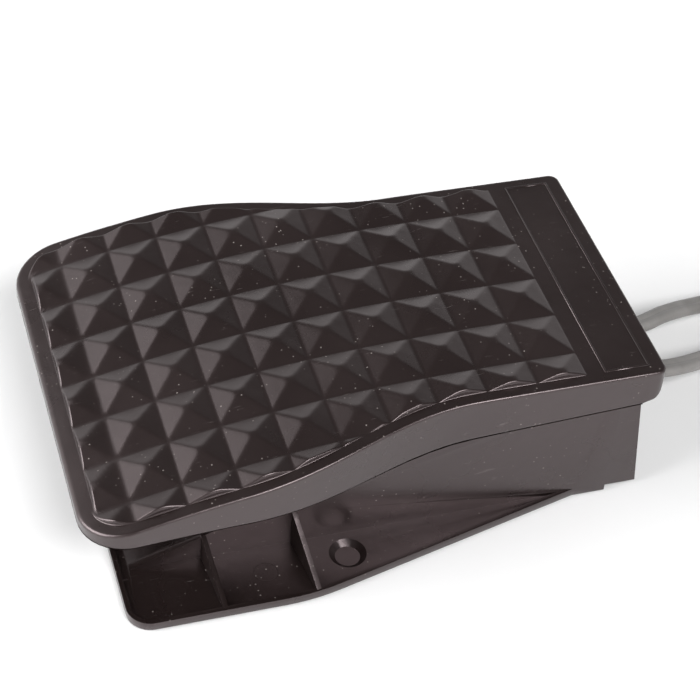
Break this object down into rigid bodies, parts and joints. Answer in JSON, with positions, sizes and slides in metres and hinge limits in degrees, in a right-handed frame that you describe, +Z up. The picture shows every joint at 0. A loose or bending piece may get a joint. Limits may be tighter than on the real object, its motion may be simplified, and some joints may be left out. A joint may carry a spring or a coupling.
{
  "type": "sewing machine pedal",
  "caption": "Foot speed controller for a sewing machine: hinged treadle with a pyramid grip tread on a flanged base tray, two flat twin cords at the heel.",
  "frame": {"origin": "centre of the pedal's footprint on the floor, cords left out", "axes": "+X across the treadle, +Y along it towards the heel where the cords leave, +Z up"},
  "size_m": [0.1102, 0.3946, 0.0443],
  "materials": {
    "shell_plastic": "semi-gloss moulded, dark brown-black",
    "rubber": "matte black",
    "steel": "bright zinc",
    "brass": "satin",
    "nylon": "natural white nylon",
    "cover_plastic": "matte dark grey",
    "laminate": "green circuit board",
    "aluminium": "plain sheet",
    "resin": "black moulded resin",
    "film": "dipped, brown",
    "copper": "enamelled copper wire",
    "cord_grey": "mid grey PVC flex"
  },
  "bodies": {
    "base": {"base_tray": "shell_plastic", "rubber_foot_1": "rubber", "rubber_foot_2": "rubber", "rubber_foot_3": "rubber", "rubber_foot_4": "rubber", "stop_bumper_left": "rubber", "stop_bumper_right": "rubber", "return_spring": "steel", "hinge_pin": "steel", "hinge_clip_left": "steel", "hinge_clip_right": "steel", "inner_cover": "cover_plastic", "cover_screw_1": "steel", "cover_screw_2": "steel", "cover_screw_3": "steel", "cover_screw_4": "steel", "circuit_board": "laminate", "board_screw_1": "steel", "board_screw_2": "steel", "slide_potentiometer": "resin", "heat_sink": "aluminium", "triac": "resin", "suppressor_capacitor": "film", "choke_coil": "copper", "resistor": "film", "terminal_block": "nylon", "cord_clamp": "steel", "clamp_screw_1": "steel", "clamp_screw_2": "steel", "mains_cord_tail": "cord_grey", "machine_cord_tail": "cord_grey", "mains_strain_relief": "rubber", "mains_lead": "cord_grey", "mains_coil": "cord_grey", "mains_coil_tie": "rubber", "mains_plug_lead": "cord_grey", "machine_strain_relief": "rubber", "machine_lead": "cord_grey", "machine_coil": "cord_grey", "machine_coil_tie": "rubber", "machine_plug_lead": "cord_grey", "mains_plug": "resin", "plug_blade_left": "brass", "plug_blade_right": "brass", "machine_connector": "resin"},
    "treadle": {"treadle_cover": "shell_plastic", "travel_limiter_left": "steel", "travel_limiter_right": "steel", "limiter_screw_left": "steel", "limiter_screw_right": "steel", "pusher_pad": "nylon"},
    "plunger": {"plunger": "nylon", "wiper_contact": "brass"}
  },
  "joints": [
    {"name": "treadle_hinge", "type": "hinge", "parent": "base", "child": "treadle", "pos_m": [0, 0.061, 0.035], "axis": [1, 0, 0], "range_deg": [0, 7], "stiffness_Nm_per_rad": 4, "springref_deg": -11.46, "deforming": ["return_spring"]},
    {"name": "plunger_slide", "type": "slide", "parent": "base", "child": "plunger", "axis": [0, 0, -1], "range_m": [0, 0.0088]}
  ],
  "couplings": [
    {"joint": "plunger_slide", "follows": "treadle_hinge", "m_per_rad": 0.0709}
  ]
}
